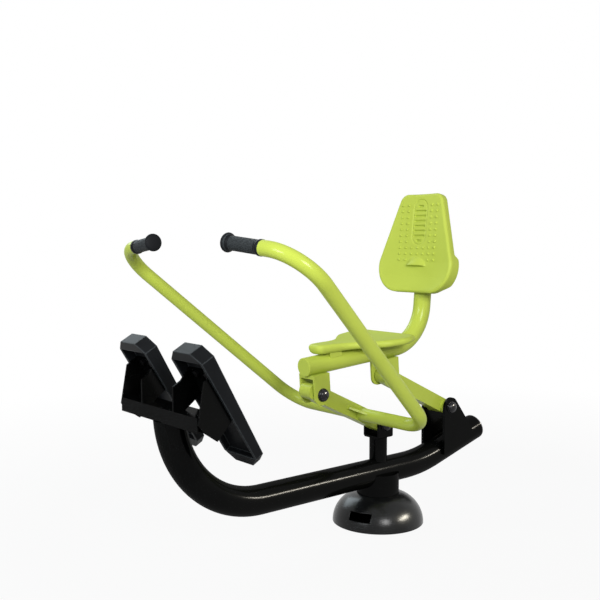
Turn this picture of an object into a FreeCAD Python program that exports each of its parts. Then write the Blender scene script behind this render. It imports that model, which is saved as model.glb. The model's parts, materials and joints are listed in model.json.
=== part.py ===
# Outdoor rowing machine, in millimetres. X runs from the footrests (-X) to the backrest (+X),
# the rower's left is -Y, and the origin is on the ground at the centre of the base.
import FreeCAD, Part
import math
import os
import re
import Sketcher
from FreeCAD import Placement, Rotation, Vector

SIZES = {
    # Base on the ground
    "flange_radius": 112,
    "flange_thickness": 12,
    "anchor_circle_radius": 90,
    "anchor_hole_radius": 9,
    "post_radius": 57.15,
    "post_wall": 4.5,
    "cover_radius": 124,
    "cover_height": 78,
    "cover_wall": 4,
    "cover_clearance": 0.4,
    "window_azimuth": 200,
    "window_width": 62,
    "window_low": 26,
    "window_high": 48,
    # Main beam, bent up to the footrests in front and slightly up at the rear
    "beam_radius": 36.5,
    "beam_wall": 4,
    "beam_height": 135.5,
    "beam_front_run": 407,
    "beam_front_clr": 252,
    "beam_front_turn": 86,
    "beam_rear_run": 100,
    "beam_rear_clr": 430,
    "beam_rear_turn": 15.4,
    "beam_rear_leg": 196,
    "end_cap_thickness": 5,
    "end_cap_round": 2,
    # Linkage: lever and rear link are equal, and the seat carrier couples them
    "pivot_height": 268,
    "lever_length": 251.4,
    "lever_pitch": 25.4,
    "coupler_length": 252.5,
    "seat_pitch": 4.5,
    # Pivots
    "pin_radius": 10,
    "fit_clearance": 0.05,
    "bush_radius": 14,
    "bush_overhang": 3,
    "side_gap": 0.3,
    "dome_radius": 17,
    "dome_height": 13,
    # Yoke on the pivot post
    "pivot_post_radius": 24.15,
    "pivot_post_wall": 4,
    "plate_thickness": 6,
    "yoke_length": 54,
    "yoke_drop": 36,
    "yoke_rise": 24,
    "yoke_bend_radius": 7,
    # Rear plates
    "rear_plate_thickness": 8,
    "rear_plate_hub_radius": 28,
    "rear_plate_reach": 112,
    "rear_plate_slope": 38.4,
    # Box tubes of the lever and the link
    "box_half": 20,
    "box_wall": 3,
    "lever_nose": 20,
    "cross_along": 92,
    # Handle: one tube bent in one plane
    "handle_radius": 17,
    "gusset_leg": 38,
    "gusset_thickness": 6,
    "handle_wall": 3,
    "handle_pitch": 41,
    "handle_low_clr": 90,
    "handle_top_clr": 95,
    "handle_cross_straight": 179,
    "handle_arm_straight": 494,
    "handle_splay_angle": 10,
    "handle_top_turn": 90.5,
    "handle_grip_lead": 18,
    # Grips on thinner ends of the handle tube
    "spigot_radius": 12,
    "spigot_length": 98,
    "spigot_clearance": 0.1,
    "grip_length": 110,
    "grip_radius": 15.7,
    "grip_collar_radius": 18,
    "grip_collar_length": 8,
    "grip_flange_radius": 21.5,
    "grip_flange_length": 9,
    "grip_collar_slope": 3,
    "grip_flange_slope": 4,
    "grip_flange_round": 5,
    # Seat tube, bent up into the back post
    "seat_tube_radius": 24.15,
    "seat_tube_wall": 3,
    "seat_tube_drop": 73.5,
    "seat_tube_front": 30,
    "seat_tube_run": 323,
    "seat_tube_clr": 122,
    "seat_tube_turn": 80.6,
    "seat_post_leg": 130,
    "tube_cap_thickness": 4,
    # Clevises under the seat tube
    "clevis_half_length": 26,
    "clevis_saddle": 4,
    "clevis_round": 22,
    # Seat
    "seat_base": 101,
    "seat_thickness": 18.5,
    "seat_skin": 5,
    "seat_wall": 7,
    "seat_length": 284,
    "seat_nose_half": 24,
    "seat_neck_at": 100,
    "seat_neck_half": 40,
    "seat_flare_at": 155,
    "seat_flare_half": 71,
    "seat_widen_at": 200,
    "seat_widen_half": 106,
    "seat_widest_at": 240,
    "seat_half_width": 112,
    "seat_rear_half": 90,
    "seat_corner_radius": 16,
    "seat_edge_radius": 6,
    "mount_front_at": 60,
    "mount_rear_at": 215,
    "mount_length": 40,
    "mount_half_width": 20,
    # Backrest
    "back_behind": 357,
    "back_above": 332,
    "back_lean": 9.5,
    "back_half_width": 136,
    "back_top_half": 73,
    "back_low": 85,
    "back_high": 194,
    "back_low_radius": 80,
    "back_side_radius": 60,
    "back_top_radius": 30,
    "back_curve_radius": 770,
    "back_sag": 12,
    "back_rim_depth": 24,
    "back_skin": 6,
    "recess_half_width": 90,
    "recess_top_half": 44,
    "recess_low": 55,
    "recess_high": 150,
    "notch_gap": 4,
    "lumbar_half_width": 36,
    "lumbar_half_height": 17,
    "lumbar_rise": 14,
    "rung_length": 42,
    "rung_end_length": 20,
    "rung_height": 5,
    "rung_depth": 3,
    "rung_pitch": 13.9,
    "rung_first": 61.5,
    "wing_half_width": 134,
    "wing_width": 30,
    "wing_low": 60,
    "wing_high": 24,
    "wing_taper": 17,
    "wing_top_taper": 6,
    "wing_depth": 38,
    "bracket_half_width": 30,
    "bracket_low": 48,
    "bracket_high": 14,
    "bracket_depth": 28,
    # Footrests
    "crossbar_front": 690,
    "crossbar_depth": 60,
    "crossbar_low": 366,
    "crossbar_height": 32,
    "crossbar_wall": 3,
    "footrest_top_x": 667.8,
    "footrest_top_z": 548,
    "footrest_tilt": 29.4,
    "footrest_side": 115.5,
    "footrest_length": 306,
    "footrest_half_width": 60,
    "footrest_top_half": 33,
    "footrest_chamfer": 24,
    "footrest_thickness": 35,
    "footrest_low_thickness": 21,
    "footrest_skin": 8,
    "footrest_wall": 7,
    "footrest_rim": 24,
    "footrest_rib_height": 2.5,
    "footrest_rib_width": 8,
    "footrest_rib_pitch": 24,
    "bracket_plate": 5,
    "bracket_side_gap": 2,
    "web_margin": 9.5,
    "fin_front_rise": 54,
    "fin_peak_rise": 66,
    "fin_peak_run": 20,
    "fin_foot": 30,
    "side_low_along": 170,
    "side_corner": 17,
    "side_corner_run": 14,
    "side_drop_run": 48,
    "side_drop": 23,
    "side_lean": 16,
    "side_rise": 75,
    "bolt_radius": 4,
    "bolt_clearance": 0.25,
    "bolt_head_radius": 9,
    "bolt_head_height": 4,
    "bolt_side": 20,
    "bolt_spot_radius": 11,
    "nut_radius": 7.5,
    "nut_height": 6.5,
}
RUNGS = 8
RIBS = 9

doc = FreeCAD.newDocument("outdoor_rower")
sheet = doc.addObject("Spreadsheet::Sheet", "Sizes")
for row, (name, size) in enumerate(SIZES.items(), 1):
    sheet.set(f"A{row}", name)
    sheet.set(f"B{row}", str(size))
    sheet.setAlias(f"B{row}", name)
doc.recompute()

words = re.compile(r"\b(" + "|".join(sorted(SIZES, key=len, reverse=True)) + r")\b")
nodes = []


def ex(text):
    # A formula in plain size names, pointed at the sheet
    return words.sub(r"Sizes.\1", text)


def bind(thing, **formulas):
    for prop, text in formulas.items():
        thing.setExpression(prop, ex(text))


# A frame is the X and Z formulas of its origin and its turn about +Y
ground = ("0", "0", "0")
leverFrame = ("0", "pivot_height", "lever_pitch")
seatFrame = ("-lever_length * cos(lever_pitch)",
             "pivot_height + lever_length * sin(lever_pitch)", "-seat_pitch")
linkFrame = ("coupler_length * cos(seat_pitch)",
             "pivot_height + coupler_length * sin(seat_pitch)", "lever_pitch")
handleFrame = ("-cross_along * cos(lever_pitch)",
               "pivot_height + cross_along * sin(lever_pitch)", "handle_pitch")
backFrame = (f"{seatFrame[0]} + back_behind", f"{seatFrame[1]} + back_above", "back_lean")
footFrame = ("-footrest_top_x", "footrest_top_z", "-footrest_tilt")


def inFrame(frame, x, z):
    # X and Z formulas of a point given in a frame
    fx, fz, turn = frame
    return (f"{fx} + ({x}) * cos({turn}) + ({z}) * sin({turn})",
            f"{fz} - ({x}) * sin({turn}) + ({z}) * cos({turn})")


def place(thing, frame, x="0", y="0", z="0"):
    # Set a piece in a frame, moved along the frame's own axes
    gx, gz = inFrame(frame, x, z)
    thing.Placement = Placement(Vector(0, 0, 0), Rotation(Vector(0, 1, 0), 1))
    thing.setExpression("Placement.Base.x", ex(gx))
    thing.setExpression("Placement.Base.y", ex(y))
    thing.setExpression("Placement.Base.z", ex(gz))
    thing.setExpression("Placement.Rotation.Angle", ex(frame[2]))


def node(thing):
    nodes.append(thing)
    return thing


def newBody(label, frame=ground, x="0", y="0", z="0"):
    body = doc.addObject("PartDesign::Body", label)
    place(body, frame, x, y, z)
    return node(body)


def origin(body, role):
    return [f for f in body.Origin.OriginFeatures if f.Role == role][0]


def sketchOn(body, role, name, offset="0"):
    sk = body.newObject("Sketcher::SketchObject", f"{body.Name}_{name}")
    sk.AttachmentSupport = [(origin(body, role), "")]
    sk.MapMode = "FlatFace"
    sk.setExpression("AttachmentOffset.Base.z", ex(offset))
    return sk


def fix(sk, kind, geo, pos, text):
    # Hold a point at a distance from the sketch's origin
    i = sk.addConstraint(Sketcher.Constraint(kind, -1, 1, geo, pos, 1.0))
    sk.setExpression(f"Constraints[{i}]", ex(text))


def polygon(sk, points):
    first = sk.GeometryCount
    count = len(points)
    ring = [Vector(math.cos(2 * math.pi * i / count), math.sin(2 * math.pi * i / count), 0)
            for i in range(count)]
    for i in range(count):
        sk.addGeometry(Part.LineSegment(ring[i], ring[(i + 1) % count]), False)
    for i in range(count):
        sk.addConstraint(Sketcher.Constraint("Coincident", first + i, 2, first + (i + 1) % count, 1))
    for i, (x, y) in enumerate(points):
        fix(sk, "DistanceX", first + i, 1, x)
        fix(sk, "DistanceY", first + i, 1, y)
    return first


def rectangle(sk, x0, x1, y0, y1):
    return polygon(sk, [(x0, y0), (x1, y0), (x1, y1), (x0, y1)])


def circle(sk, radius, x="0", y="0"):
    geo = sk.addGeometry(Part.Circle(Vector(0, 0, 0), Vector(0, 0, 1), 1), False)
    fix(sk, "DistanceX", geo, 3, x)
    fix(sk, "DistanceY", geo, 3, y)
    i = sk.addConstraint(Sketcher.Constraint("Radius", geo, 1.0))
    sk.setExpression(f"Constraints[{i}]", ex(radius))
    return geo


def feature(body, kind, name, sk):
    made = body.newObject(f"PartDesign::{kind}", f"{body.Name}_{name}")
    made.Profile = sk
    return made


def pad(body, sk, length, both=False, back=False, name="pad"):
    made = feature(body, "Pad", name, sk)
    made.SideType = "Symmetric" if both else "One side"
    made.Reversed = back
    bind(made, Length=length)
    return made


def cut(body, sk, depth=None, both=False, back=False, name="cut"):
    doc.recompute()
    before = body.Shape.Volume
    made = feature(body, "Pocket", name, sk)
    made.SideType = "Symmetric" if both else "One side"
    made.Reversed = back
    if depth is None:
        made.Type = "ThroughAll"
    else:
        bind(made, Length=depth)
    doc.recompute()
    if body.Shape.Volume > before - 1e-3:
        raise RuntimeError(f"{body.Label}: {name} removes nothing")
    return made


def revolve(body, sk, axis="V_Axis", name="turn"):
    made = feature(body, "Revolution", name, sk)
    made.ReferenceAxis = (sk, [axis])
    made.Angle = 360
    return made


def edgesOf(shape, test):
    return [f"Edge{i}" for i, e in enumerate(shape.Edges, 1) if test(e)]


def roundOff(body, radius, test, name="round"):
    doc.recompute()
    base = body.Tip
    picked = edgesOf(base.Shape, test)
    if not picked:
        raise RuntimeError(f"{body.Label}: no edge for {name}")
    made = body.newObject("PartDesign::Fillet", f"{body.Name}_{name}")
    made.Base = (base, picked)
    bind(made, Radius=radius)
    return made


def runsAlong(edge, axis):
    # True for a straight edge along a unit axis
    if not isinstance(edge.Curve, Part.Line):
        return False
    return abs(abs(edge.Curve.Direction.dot(axis)) - 1) < 1e-6


AX, AY, AZ = Vector(1, 0, 0), Vector(0, 1, 0), Vector(0, 0, 1)


def bentPath(body, role, name, legs, bends, heading=0.0, start=None):
    # Straight legs (size, angle formula, angle) joined by tangent arcs (size) that all turn left
    sk = sketchOn(body, role, name)
    at = Vector(0, 0, 0)
    made = []
    for i, (length, turn, angle) in enumerate(legs):
        along = Vector(math.cos(math.radians(angle)), math.sin(math.radians(angle)), 0)
        far = at + along * SIZES[length]
        line = sk.addGeometry(Part.LineSegment(at, far), False)
        made.append(line)
        k = sk.addConstraint(Sketcher.Constraint("Distance", line, SIZES[length]))
        sk.setExpression(f"Constraints[{k}]", ex(length))
        k = sk.addConstraint(Sketcher.Constraint("Angle", line, math.radians(angle)))
        sk.setExpression(f"Constraints[{k}]", ex(f"({turn}) * 1 deg"))
        if i == 0:
            sk.addConstraint(Sketcher.Constraint("Coincident", line, 1, -1, 1))
        else:
            sk.addConstraint(Sketcher.Constraint("Tangent", made[-2], 2, line, 1))
        at = far
        if i < len(bends):
            clr = SIZES[bends[i]]
            nextAngle = legs[i + 1][2]
            centre = at + Vector(-along.y, along.x, 0) * clr
            a0 = math.radians(angle - 90)
            a1 = math.radians(nextAngle - 90)
            round_ = Part.ArcOfCircle(Part.Circle(centre, Vector(0, 0, 1), clr), a0, a1)
            arc = sk.addGeometry(round_, False)
            made.append(arc)
            sk.addConstraint(Sketcher.Constraint("Tangent", line, 2, arc, 1))
            k = sk.addConstraint(Sketcher.Constraint("Radius", arc, clr))
            sk.setExpression(f"Constraints[{k}]", ex(bends[i]))
            at = centre + Vector(math.cos(a1), math.sin(a1), 0) * clr
    return sk


def sweep(body, ring, path, name):
    made = body.newObject("PartDesign::AdditivePipe", f"{body.Name}_{name}")
    made.Profile = ring
    count = path.GeometryCount
    made.Spine = (path, [f"Edge{i}" for i in range(1, count + 1)])
    return made


def mirrored(body, originals, role):
    made = body.newObject("PartDesign::Mirrored", f"{body.Name}_mirror")
    made.Originals = originals
    made.MirrorPlane = (origin(body, role), [""])
    body.Tip = made
    return made


def cylinder(label, radius, length, frame=ground, x="0", y="0", z="0"):
    # A round bar along Y, centred on y
    body = newBody(label, frame, x, y, z)
    sk = sketchOn(body, "XZ_Plane", "round")
    circle(sk, radius)
    pad(body, sk, length, both=True)
    return body


def sleeve(label, outer, inner, length, frame, x="0"):
    # A tube along Y
    body = newBody(label, frame, x)
    sk = sketchOn(body, "XZ_Plane", "ring")
    circle(sk, outer)
    circle(sk, inner)
    pad(body, sk, length, both=True)
    return body


def domes(label, frame, x, outside):
    # The two domed covers of a pivot, on the outer faces of its plates
    body = newBody(label, frame, x)
    for side, sign in (("left", "-"), ("right", "")):
        sk = sketchOn(body, "XY_Plane", side)
        tip = f"{sign}(({outside}) + dome_height)"
        base = f"{sign}({outside})"
        low, mid, high = (f"{sign}(({outside}) + dome_height * {share})" for share in (0.25, 0.62, 0.88))
        polygon(sk, [("0", base), ("dome_radius", base), ("dome_radius", low),
                     ("dome_radius * 0.87", mid), ("dome_radius * 0.6", high),
                     ("dome_radius * 0.3", tip), ("0", tip)])
        revolve(body, sk, name=f"dome_{side}")
        body.AllowCompound = True
    return body


# Half widths shared by the yoke, the clevises and what turns in them
cheekIn = "box_half + bush_overhang + side_gap"
cheekOut = f"{cheekIn} + plate_thickness"
pinBore = "pin_radius + fit_clearance"
rearIn = "beam_radius"
rearOut = "beam_radius + rear_plate_thickness"


def groundFlange():
    body = newBody("ground_flange")
    sk = sketchOn(body, "XY_Plane", "disc")
    circle(sk, "flange_radius")
    pad(body, sk, "flange_thickness")
    hole = sketchOn(body, "XY_Plane", "anchor")
    circle(hole, "anchor_hole_radius", "anchor_circle_radius * cos(45)",
           "anchor_circle_radius * sin(45)")
    first = cut(body, hole, back=True)
    ring = body.newObject("PartDesign::PolarPattern", "anchors")
    ring.Originals = [first]
    ring.Axis = (sk, ["N_Axis"])
    ring.Angle = 360
    ring.Occurrences = 4
    body.Tip = ring


def baseCover():
    # A round dome over the flange; the window faces one anchor
    body = newBody("base_cover")
    body.Placement = Placement(Vector(0, 0, 0), Rotation(AZ, 1))
    bind(body, **{"Placement.Base.x": "0", "Placement.Base.z": "0"})
    body.setExpression("Placement.Rotation.Angle", ex("window_azimuth - 180"))
    sk = sketchOn(body, "XZ_Plane", "profile")
    inner = "post_radius + cover_clearance"
    rise = f"(cover_radius - ({inner}))"
    dome = f"(({rise})^2 + cover_height^2) / (2 * {rise})"
    arcs = []
    for wall in ("0", "cover_wall"):
        r = 78.0 - SIZES["cover_wall"] * len(arcs)
        arc = Part.ArcOfCircle(Part.Circle(Vector(45, 0, 0), Vector(0, 0, 1), r), 0.0, 1.42)
        arcs.append(sk.addGeometry(arc, False))
        geo = arcs[-1]
        k = sk.addConstraint(Sketcher.Constraint("Radius", geo, r))
        sk.setExpression(f"Constraints[{k}]", ex(f"{dome} - {wall}"))
        fix(sk, "DistanceX", geo, 3, f"cover_radius - {dome}")
        fix(sk, "DistanceY", geo, 3, "0")
        fix(sk, "DistanceY", geo, 1, "0")
        fix(sk, "DistanceX", geo, 2, inner)
    foot = sk.addGeometry(Part.LineSegment(Vector(119, 0, 0), Vector(123, 0, 0)), False)
    lip = sk.addGeometry(Part.LineSegment(Vector(57, 77, 0), Vector(57, 73, 0)), False)
    for a, pa, b, pb in ((foot, 1, arcs[1], 1), (foot, 2, arcs[0], 1),
                         (lip, 1, arcs[0], 2), (lip, 2, arcs[1], 2)):
        sk.addConstraint(Sketcher.Constraint("Coincident", a, pa, b, pb))
    revolve(body, sk)
    window = sketchOn(body, "YZ_Plane", "window")
    rectangle(window, "-window_width / 2", "window_width / 2", "window_low", "window_high")
    cut(body, window)


def saddleCut(body, radius, height, role="YZ_Plane"):
    # Seat a piece on a tube that runs along X
    sk = sketchOn(body, role, "saddle")
    circle(sk, radius, "0", height)
    cut(body, sk, both=True, name="saddle_cut")


def mainPost():
    body = newBody("main_post")
    sk = sketchOn(body, "XY_Plane", "ring", "flange_thickness")
    circle(sk, "post_radius")
    circle(sk, "post_radius - post_wall")
    pad(body, sk, "beam_height - flange_thickness")
    saddleCut(body, "beam_radius", "beam_height")


def mainBeam():
    body = newBody("main_beam", z="beam_height")
    ring = sketchOn(body, "YZ_Plane", "ring")
    circle(ring, "beam_radius")
    circle(ring, "beam_radius - beam_wall")
    rear = bentPath(body, "XZ_Plane", "rear_path",
                    [("beam_rear_run", "0", 0), ("beam_rear_leg", "beam_rear_turn",
                                                 SIZES["beam_rear_turn"])], ["beam_rear_clr"])
    sweep(body, ring, rear, "rear")
    doc.recompute()
    front = sketchOn(body, "XZ_Plane", "front_path")
    run, clr = SIZES["beam_front_run"], SIZES["beam_front_clr"]
    line = front.addGeometry(Part.LineSegment(Vector(0, 0, 0), Vector(-run, 0, 0)), False)
    turn = math.radians(SIZES["beam_front_turn"])
    bow = Part.Circle(Vector(-run, clr, 0), Vector(0, 0, 1), clr)
    arc = front.addGeometry(Part.ArcOfCircle(bow, -math.pi / 2 - turn, -math.pi / 2), False)
    front.addConstraint(Sketcher.Constraint("Coincident", line, 1, -1, 1))
    front.addConstraint(Sketcher.Constraint("Tangent", line, 2, arc, 2))
    front.addConstraint(Sketcher.Constraint("Horizontal", line))
    fix(front, "DistanceX", line, 2, "-beam_front_run")
    k = front.addConstraint(Sketcher.Constraint("Radius", arc, clr))
    front.setExpression(f"Constraints[{k}]", ex("beam_front_clr"))
    fix(front, "DistanceX", arc, 1, "-beam_front_run - beam_front_clr * sin(beam_front_turn)")
    sweep(body, ring, front, "front")
    level = sketchOn(body, "XZ_Plane", "level")
    low = "crossbar_low - beam_height"
    rectangle(level, "-beam_front_run - 2 * beam_front_clr", "-beam_front_run",
              low, f"{low} + 2 * beam_front_clr")
    cut(body, level, both=True, name="level_cut")


# The rear end of the beam, measured from the ground under the pivot
rearBendX = "beam_rear_run + beam_rear_clr * sin(beam_rear_turn)"
rearBendZ = "beam_height + beam_rear_clr * (1 - cos(beam_rear_turn))"
rearFrame = (rearBendX, rearBendZ, "-beam_rear_turn")


def beamEndCap():
    body = newBody("beam_end_cap", rearFrame, x="beam_rear_leg")
    sk = sketchOn(body, "YZ_Plane", "disc")
    circle(sk, "beam_radius")
    pad(body, sk, "end_cap_thickness")
    roundOff(body, "end_cap_round", lambda e: e.BoundBox.XMin > 0.5)


def pivotPost():
    body = newBody("pivot_post")
    sk = sketchOn(body, "XY_Plane", "ring", "beam_height")
    circle(sk, "pivot_post_radius")
    circle(sk, "pivot_post_radius - pivot_post_wall")
    pad(body, sk, "pivot_height - yoke_drop - beam_height")
    saddleCut(body, "beam_radius", "beam_height")


def uBracket(body, base, web, top, half, bore="0"):
    # A folded plate: two cheeks and a web, as long in X as twice half
    sk = sketchOn(body, "YZ_Plane", "fold")
    polygon(sk, [(f"-({cheekOut})", top), (f"-({cheekOut})", base), (cheekOut, base),
                 (cheekOut, top), (cheekIn, top), (cheekIn, web), (f"-({cheekIn})", web),
                 (f"-({cheekIn})", top)])
    pad(body, sk, f"2 * ({half})", both=True)


def pinHole(body, x="0", z="0"):
    sk = sketchOn(body, "XZ_Plane", "bore")
    circle(sk, pinBore, x, z)
    cut(body, sk, both=True, name="bore_cut")


def leverYoke():
    body = newBody("lever_yoke", z="pivot_height")
    uBracket(body, "-yoke_drop", "plate_thickness - yoke_drop", "yoke_rise", "yoke_length / 2")
    low = -SIZES["yoke_drop"]
    roundOff(body, "yoke_bend_radius",
             lambda e: runsAlong(e, AX) and abs(e.BoundBox.ZMin - low) < 0.01, "folds")
    roundOff(body, "yoke_length / 2 - plate_thickness",
             lambda e: runsAlong(e, AY) and abs(e.BoundBox.ZMin - SIZES["yoke_rise"]) < 0.01, "tops")
    pinHole(body)


def rearPlate(label, side):
    # Hub round the link pin, a straight front edge and a foot along the beam's flank
    body = newBody(label)
    px, pz = linkFrame[0], linkFrame[1]
    hub = "rear_plate_hub_radius"
    frontX = f"{px} - {hub}"
    reach = f"{px} + rear_plate_reach"
    beamAt = f"{rearBendZ} + (({{}}) - ({rearBendX})) * tan(beam_rear_turn)"
    outside = f"{side} * -1 * ({rearIn})"
    disc = sketchOn(body, "XZ_Plane", "hub", outside)
    circle(disc, hub, px, pz)
    pad(body, disc, "rear_plate_thickness", back=(side == "1"), name="hub_pad")
    sk = sketchOn(body, "XZ_Plane", "plate", outside)
    polygon(sk, [(frontX, pz), (frontX, beamAt.format(frontX)), (reach, beamAt.format(reach)),
                 (f"{px} + {hub} * cos(rear_plate_slope)", f"{pz} + {hub} * sin(rear_plate_slope)")])
    pad(body, sk, "rear_plate_thickness", back=(side == "1"))
    pinHole(body, px, pz)


def boxTube(body, front, rear):
    # A square tube along the frame's X axis
    sk = sketchOn(body, "YZ_Plane", "square", front)
    rectangle(sk, "-box_half", "box_half", "-box_half", "box_half")
    hollow = "box_half - box_wall"
    rectangle(sk, f"-({hollow})", hollow, f"-({hollow})", hollow)
    pad(body, sk, f"{rear} - ({front})")


def roundCut(body, radius, x, name):
    sk = sketchOn(body, "XZ_Plane", name)
    circle(sk, radius, x, "0")
    cut(body, sk, both=True, name=f"{name}_cut")


def lever():
    body = newBody("lever_tube", leverFrame)
    boxTube(body, "-lever_length - lever_nose", "0")
    roundCut(body, "box_half", "0", "hub_end")
    roundCut(body, "bush_radius + box_wall", "-lever_length", "sleeve_hole")
    roundCut(body, "handle_radius", "-cross_along", "cross_hole")
    # The tube's front end is closed by a half round
    cap = newBody("lever_end_cap", leverFrame, x="-lever_length - lever_nose")
    sk = sketchOn(cap, "XZ_Plane", "round")
    circle(sk, "box_half")
    pad(cap, sk, "2 * box_half", both=True)
    half = sketchOn(cap, "XZ_Plane", "rear_half")
    rectangle(half, "0", "2 * box_half", "-2 * box_half", "2 * box_half")
    cut(cap, half, both=True, name="rear_half_cut")
    sleeve("lever_hub", "box_half", "bush_radius", "2 * box_half", leverFrame)
    sleeve("lever_front_sleeve", "bush_radius + box_wall", "bush_radius", "2 * box_half",
           leverFrame, "-lever_length")
    over = "2 * (box_half + bush_overhang)"
    sleeve("lever_bushing", "bush_radius", pinBore, over, leverFrame)
    sleeve("lever_front_bushing", "bush_radius", pinBore, over, leverFrame, "-lever_length")


def gussets():
    # Two flat corner plates between the sides of the lever and the handle's cross tube
    body = newBody("handle_gussets", leverFrame)
    body.AllowCompound = True
    sk = sketchOn(body, "XY_Plane", "corners")
    tip = "-cross_along - handle_radius - gusset_leg"
    for sign in ("-", ""):
        polygon(sk, [("-cross_along", f"{sign}box_half"), ("-cross_along", f"{sign}(box_half + gusset_leg)"),
                     ("-cross_along - handle_radius", f"{sign}(box_half + gusset_leg)"),
                     (tip, f"{sign}(box_half + gusset_thickness)"), (tip, f"{sign}box_half")])
    pad(body, sk, "gusset_thickness", both=True)
    roundCut(body, "handle_radius", "-cross_along", "tube_space")


def rearLink():
    body = newBody("link_tube", linkFrame)
    boxTube(body, "-lever_length", "0")
    roundCut(body, "box_half", "0", "lower_end")
    roundCut(body, "box_half", "-lever_length", "upper_end")
    wide = "2 * (beam_radius - side_gap - bush_overhang)"
    sleeve("link_lower_hub", "box_half", "bush_radius", wide, linkFrame)
    sleeve("link_upper_hub", "box_half", "bush_radius", "2 * box_half", linkFrame, "-lever_length")
    sleeve("link_lower_bushing", "bush_radius", pinBore, "2 * (beam_radius - side_gap)", linkFrame)
    sleeve("link_upper_bushing", "bush_radius", pinBore, "2 * (box_half + bush_overhang)",
           linkFrame, "-lever_length")


# The end of the handle's last short lead, in the handle's plane: the grip starts there
armHeading = "180 - handle_splay_angle"
gripHeading = "180 - handle_splay_angle + handle_top_turn"
bendX = "-handle_low_clr * (1 - sin(handle_splay_angle)) - handle_arm_straight * cos(handle_splay_angle)"
bendY = ("handle_cross_straight + handle_low_clr * cos(handle_splay_angle)"
         " + handle_arm_straight * sin(handle_splay_angle)")
leadX = f"{bendX} + handle_top_clr * (sin({gripHeading}) - sin({armHeading}))"
leadY = f"{bendY} + handle_top_clr * (cos({armHeading}) - cos({gripHeading}))"
gripX = f"{leadX} + handle_grip_lead * cos({gripHeading})"
gripY = f"{leadY} + handle_grip_lead * sin({gripHeading})"


def alongGrip(profile, side):
    # Points of a round profile (distance along the grip, radius) in the handle's plane
    c, s = f"cos({gripHeading})", f"sin({gripHeading})"
    return [(f"{gripX} + ({a}) * {c} - ({r}) * {s}", f"{side} * ({gripY} + ({a}) * {s} + ({r}) * {c})")
            for a, r in profile]


def turnedOnGrip(body, profile, side, name):
    sk = sketchOn(body, "XY_Plane", name)
    polygon(sk, alongGrip(profile, side))
    axis = sk.addGeometry(Part.LineSegment(Vector(0, 0, 0), Vector(1, 1, 0)), True)
    for end, (x, y) in enumerate(alongGrip([("0", "0"), ("grip_length", "0")], side), 1):
        fix(sk, "DistanceX", axis, end, x)
        fix(sk, "DistanceY", axis, end, y)
    return revolve(body, sk, "Axis0", name + "_turn")


def handle():
    body = newBody("handle_tube", handleFrame)
    ring = sketchOn(body, "XZ_Plane", "ring")
    circle(ring, "handle_radius")
    circle(ring, "handle_radius - handle_wall")
    splay, turn = SIZES["handle_splay_angle"], SIZES["handle_top_turn"]
    path = bentPath(body, "XY_Plane", "path",
                    [("handle_cross_straight", "90", 90),
                     ("handle_arm_straight", armHeading, 180 - splay),
                     ("handle_grip_lead", gripHeading, 180 - splay + turn)],
                    ["handle_low_clr", "handle_top_clr"])
    tube = sweep(body, ring, path, "bend")
    doc.recompute()
    end = turnedOnGrip(body, [("-handle_wall", "0"), ("-handle_wall", "handle_radius - handle_wall"),
                              ("0", "handle_radius - handle_wall"), ("0", "spigot_radius"),
                              ("spigot_length", "spigot_radius"), ("spigot_length", "0")], "1", "spigot")
    doc.recompute()
    mirrored(body, [tube, end], "XZ_Plane")
    for label, side in (("grip_left", "-1"), ("grip_right", "1")):
        grip = newBody(label, handleFrame)
        bore = "spigot_radius + spigot_clearance"
        flange = "grip_length - grip_flange_length"
        turnedOnGrip(grip, [("0", bore), ("0", "grip_collar_radius"),
                            ("grip_collar_length", "grip_collar_radius"),
                            ("grip_collar_length + grip_collar_slope", "grip_radius"),
                            (f"{flange} - grip_flange_slope", "grip_radius"),
                            (flange, "grip_flange_radius"),
                            ("grip_length - grip_flange_round", "grip_flange_radius"),
                            ("grip_length", "grip_flange_radius * 0.7"), ("grip_length", "0"),
                            ("spigot_length + spigot_clearance", "0"),
                            ("spigot_length + spigot_clearance", bore)], side, "rubber")


def seatTube():
    body = newBody("seat_tube", seatFrame, x="-seat_tube_front", z="seat_tube_drop")
    ring = sketchOn(body, "YZ_Plane", "ring")
    circle(ring, "seat_tube_radius")
    circle(ring, "seat_tube_radius - seat_tube_wall")
    path = bentPath(body, "XZ_Plane", "path",
                    [("seat_tube_run", "0", 0),
                     ("seat_post_leg", "seat_tube_turn", SIZES["seat_tube_turn"])], ["seat_tube_clr"])
    sweep(body, ring, path, "bend")
    cap = newBody("seat_tube_cap", seatFrame, x="-seat_tube_front", z="seat_tube_drop")
    sk = sketchOn(cap, "YZ_Plane", "disc")
    circle(sk, "seat_tube_radius")
    pad(cap, sk, "tube_cap_thickness", back=True)
    roundOff(cap, "tube_cap_thickness / 2", lambda e: e.BoundBox.XMax < -0.5)


# The back post, from the end of the seat tube's bend
postX = "-seat_tube_front + seat_tube_run + seat_tube_clr * sin(seat_tube_turn)"
postZ = "seat_tube_drop + seat_tube_clr * (1 - cos(seat_tube_turn))"
postFoot = inFrame(seatFrame, postX, postZ)
postFrame = (postFoot[0], postFoot[1], "90 - seat_pitch - seat_tube_turn")


def postPlug():
    body = newBody("seat_post_plug", postFrame, z="seat_post_leg")
    sk = sketchOn(body, "XY_Plane", "disc")
    circle(sk, "seat_tube_radius")
    pad(body, sk, "tube_cap_thickness")
    roundOff(body, "tube_cap_thickness / 2", lambda e: e.BoundBox.ZMin > 0.5)


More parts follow.
